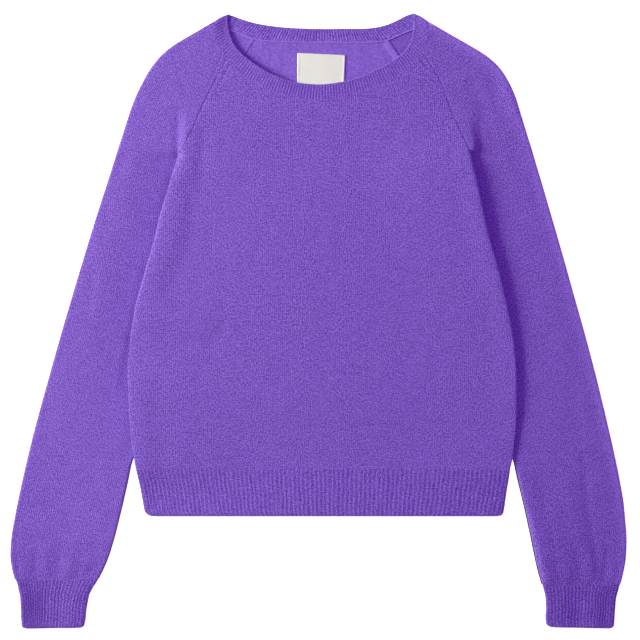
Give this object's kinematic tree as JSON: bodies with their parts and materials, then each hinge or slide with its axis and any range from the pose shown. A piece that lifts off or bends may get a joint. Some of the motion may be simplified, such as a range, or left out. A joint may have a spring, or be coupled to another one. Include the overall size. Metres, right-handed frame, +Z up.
{
  "type": "cropped knit sweater",
  "caption": "Cropped crew-neck sweater in a brushed purple knit with raglan sleeves and ribbed neck, hem and cuffs, laid flat with its front up.",
  "frame": {"origin": "centre of the outline, on the surface that the sweater lies on", "axes": "+Z up, +Y from the hem toward the neck, +X toward the wearer's left side"},
  "size_m": [0.6407, 0.6391, 0.0128],
  "materials": {
    "brushed_wool": "brushed fine stockinette, matt and softly hairy",
    "ribbed_wool": "brushed 1x1 rib, matt",
    "woven_label": "plain woven label tape"
  },
  "bodies": {
    "root": {"front_panel": "brushed_wool", "back_panel": "brushed_wool", "sleeve_right": "brushed_wool", "sleeve_left": "brushed_wool", "hem_rib_front": "ribbed_wool", "hem_rib_back": "ribbed_wool", "cuff_right": "ribbed_wool", "cuff_left": "ribbed_wool", "neckband": "ribbed_wool", "neck_label": "woven_label"}
  },
  "joints": []
}
